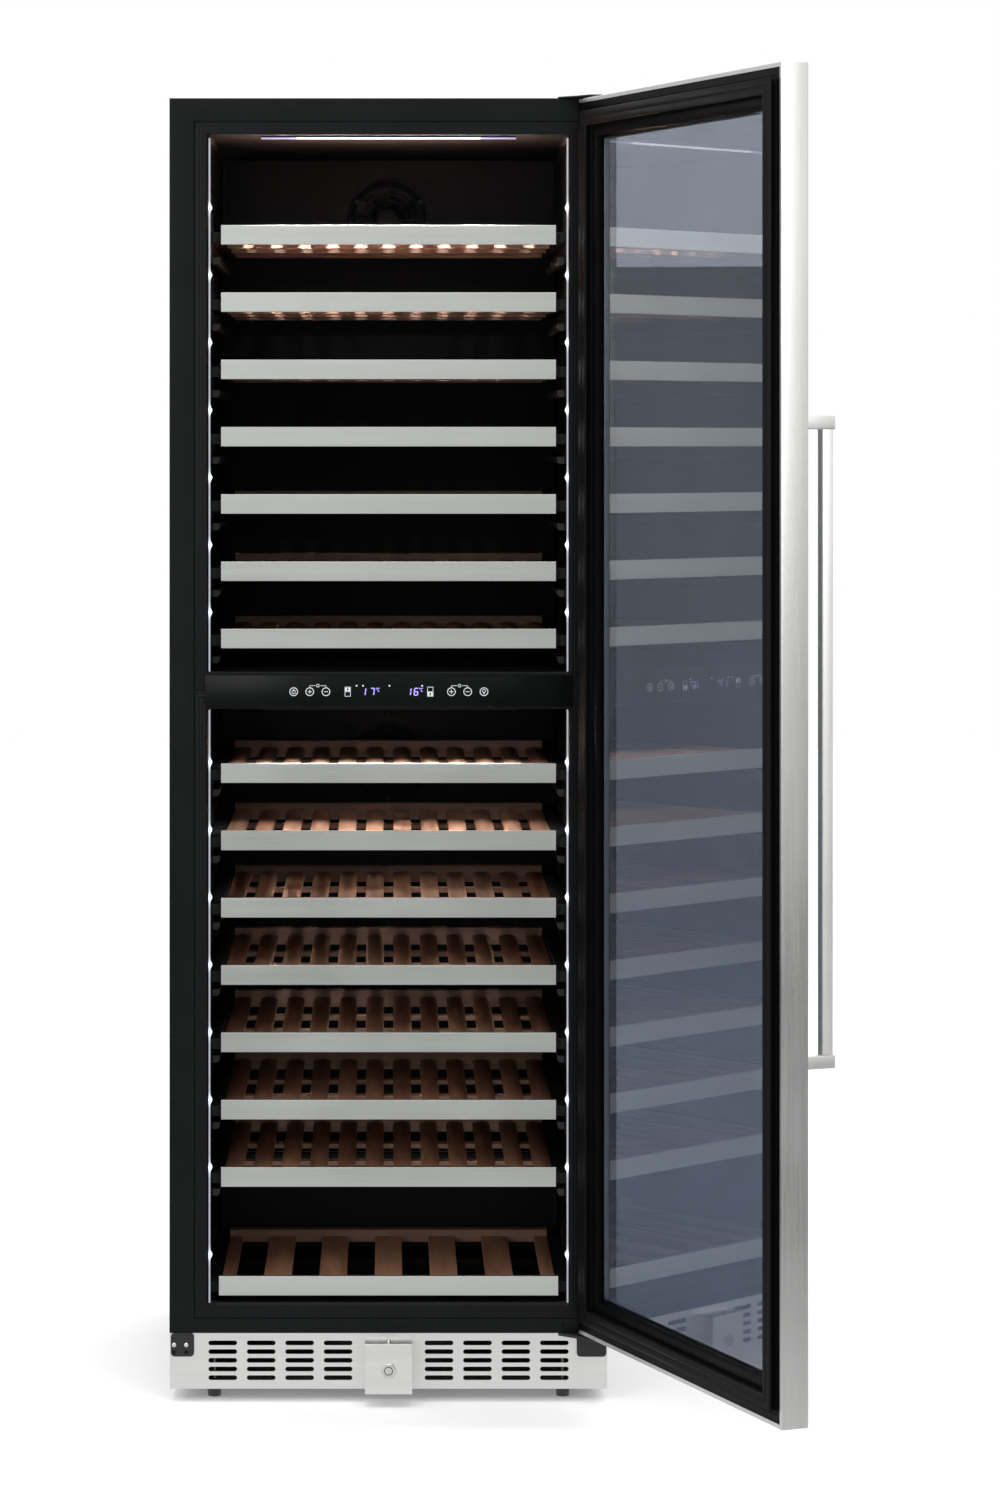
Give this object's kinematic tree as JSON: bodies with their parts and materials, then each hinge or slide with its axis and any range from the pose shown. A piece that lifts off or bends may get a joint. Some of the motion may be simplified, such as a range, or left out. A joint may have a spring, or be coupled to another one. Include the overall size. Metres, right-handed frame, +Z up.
{
  "type": "wine cooler",
  "caption": "Tall dual-zone wine cooler: black cabinet, steel-framed tinted glass door standing open, wooden sliding shelves with steel fronts, control panel between the zones.",
  "frame": {"origin": "on the floor, under the middle of the cabinet's front face", "axes": "+Z up, +Y from the front to the back of the cabinet, +X to the hinge side"},
  "size_m": [0.8503, 1.2022, 1.7732],
  "materials": {
    "painted_steel": "satin black paint",
    "foam": "rigid foam",
    "liner_plastic": "satin black moulded plastic",
    "foot_plastic": "matt black",
    "kick_steel": "satin steel",
    "panel_gloss": "gloss black with printed symbols",
    "circuit_board": "green circuit board",
    "light_guide": "milky light guide, lit",
    "motor_plastic": "matt",
    "fan_plastic": "satin",
    "coil_metal": "mill finish",
    "compressor_paint": "gloss black paint",
    "runner_plastic": "satin black",
    "lock_metal": "satin chrome",
    "screw_metal": "zinc plated",
    "brushed_door_steel": "vertically brushed",
    "brushed_trim_steel": "fine brushed along its length",
    "seal_rubber": "soft matt",
    "tinted_glass": "grey tint",
    "spacer_metal": "satin",
    "beech": "oiled beech"
  },
  "bodies": {
    "cabinet": {"cabinet_shell": "painted_steel", "front_frame": "painted_steel", "insulation": "foam", "liners": "liner_plastic", "base_tray": "painted_steel", "rear_cover": "painted_steel", "levelling_feet": "foot_plastic", "kick_plate": "kick_steel", "control_panel": "panel_gloss", "control_board": "circuit_board", "light_strips": "light_guide", "duct_covers": "liner_plastic", "fan_motors": "motor_plastic", "coils": "coil_metal", "compressor": "compressor_paint", "shelf_runners": "runner_plastic", "hinge_brackets": "painted_steel", "lock_bracket": "kick_steel", "cord_gland": "foot_plastic", "screws": "screw_metal"},
    "door": {"door_frame": "brushed_door_steel", "door_liner": "liner_plastic", "door_gasket": "seal_rubber", "glass_panes": "tinted_glass", "glass_spacer": "spacer_metal", "handle": "brushed_door_steel"},
    "upper_fan": {"fan_upper": "fan_plastic"},
    "lower_fan": {"fan_lower": "fan_plastic"},
    "lock_barrel": {"lock_cylinder": "lock_metal"},
    "bolt": {"lock_bolt": "lock_metal"},
    "shelf_01": {"shelf_01_rack": "beech", "shelf_01_trim": "brushed_trim_steel"},
    "shelf_02": {"shelf_02_rack": "beech", "shelf_02_trim": "brushed_trim_steel"},
    "shelf_03": {"shelf_03_rack": "beech", "shelf_03_trim": "brushed_trim_steel"},
    "shelf_04": {"shelf_04_rack": "beech", "shelf_04_trim": "brushed_trim_steel"},
    "shelf_05": {"shelf_05_rack": "beech", "shelf_05_trim": "brushed_trim_steel"},
    "shelf_06": {"shelf_06_rack": "beech", "shelf_06_trim": "brushed_trim_steel"},
    "shelf_07": {"shelf_07_rack": "beech", "shelf_07_trim": "brushed_trim_steel"},
    "shelf_08": {"shelf_08_rack": "beech", "shelf_08_trim": "brushed_trim_steel"},
    "shelf_09": {"shelf_09_rack": "beech", "shelf_09_trim": "brushed_trim_steel"},
    "shelf_10": {"shelf_10_rack": "beech", "shelf_10_trim": "brushed_trim_steel"},
    "shelf_11": {"shelf_11_rack": "beech", "shelf_11_trim": "brushed_trim_steel"},
    "shelf_12": {"shelf_12_rack": "beech", "shelf_12_trim": "brushed_trim_steel"},
    "shelf_13": {"shelf_13_rack": "beech", "shelf_13_trim": "brushed_trim_steel"},
    "shelf_14": {"shelf_14_rack": "beech", "shelf_14_trim": "brushed_trim_steel"},
    "shelf_15": {"shelf_15_rack": "beech", "shelf_15_trim": "brushed_trim_steel"}
  },
  "joints": [
    {"name": "door_hinge", "type": "hinge", "parent": "cabinet", "child": "door", "pos_m": [0.28, -0.026, 0.932], "axis": [0, 0, 1], "range_deg": [-112, 8]},
    {"name": "shelf_01_slide", "type": "slide", "parent": "cabinet", "child": "shelf_01", "axis": [0, -1, 0], "range_m": [0, 0.33]},
    {"name": "shelf_02_slide", "type": "slide", "parent": "cabinet", "child": "shelf_02", "axis": [0, -1, 0], "range_m": [0, 0.33]},
    {"name": "shelf_03_slide", "type": "slide", "parent": "cabinet", "child": "shelf_03", "axis": [0, -1, 0], "range_m": [0, 0.33]},
    {"name": "shelf_04_slide", "type": "slide", "parent": "cabinet", "child": "shelf_04", "axis": [0, -1, 0], "range_m": [0, 0.33]},
    {"name": "shelf_05_slide", "type": "slide", "parent": "cabinet", "child": "shelf_05", "axis": [0, -1, 0], "range_m": [0, 0.33]},
    {"name": "shelf_06_slide", "type": "slide", "parent": "cabinet", "child": "shelf_06", "axis": [0, -1, 0], "range_m": [0, 0.33]},
    {"name": "shelf_07_slide", "type": "slide", "parent": "cabinet", "child": "shelf_07", "axis": [0, -1, 0], "range_m": [0, 0.33]},
    {"name": "shelf_08_slide", "type": "slide", "parent": "cabinet", "child": "shelf_08", "axis": [0, -1, 0], "range_m": [0, 0.33]},
    {"name": "shelf_09_slide", "type": "slide", "parent": "cabinet", "child": "shelf_09", "axis": [0, -1, 0], "range_m": [0, 0.33]},
    {"name": "shelf_10_slide", "type": "slide", "parent": "cabinet", "child": "shelf_10", "axis": [0, -1, 0], "range_m": [0, 0.33]},
    {"name": "shelf_11_slide", "type": "slide", "parent": "cabinet", "child": "shelf_11", "axis": [0, -1, 0], "range_m": [0, 0.33]},
    {"name": "shelf_12_slide", "type": "slide", "parent": "cabinet", "child": "shelf_12", "axis": [0, -1, 0], "range_m": [0, 0.33]},
    {"name": "shelf_13_slide", "type": "slide", "parent": "cabinet", "child": "shelf_13", "axis": [0, -1, 0], "range_m": [0, 0.33]},
    {"name": "shelf_14_slide", "type": "slide", "parent": "cabinet", "child": "shelf_14", "axis": [0, -1, 0], "range_m": [0, 0.33]},
    {"name": "shelf_15_slide", "type": "slide", "parent": "cabinet", "child": "shelf_15", "axis": [0, -1, 0], "range_m": [0, 0.26]},
    {"name": "upper_fan_spin", "type": "hinge", "parent": "cabinet", "child": "upper_fan", "pos_m": [0, 0.5125, 1.633], "axis": [0, -1, 0], "continuous": true},
    {"name": "lower_fan_spin", "type": "hinge", "parent": "cabinet", "child": "lower_fan", "pos_m": [0, 0.5125, 0.828], "axis": [0, -1, 0], "continuous": true},
    {"name": "lock_turn", "type": "hinge", "parent": "cabinet", "child": "lock_barrel", "pos_m": [0, -0.034, 0.05], "axis": [0, -1, 0], "range_deg": [0, 90]},
    {"name": "bolt_lift", "type": "slide", "parent": "cabinet", "child": "bolt", "axis": [0, 0, 1], "range_m": [0, 0.012]}
  ],
  "couplings": [
    {"joint": "bolt_lift", "follows": "lock_turn", "m_per_rad": 0.007638}
  ]
}
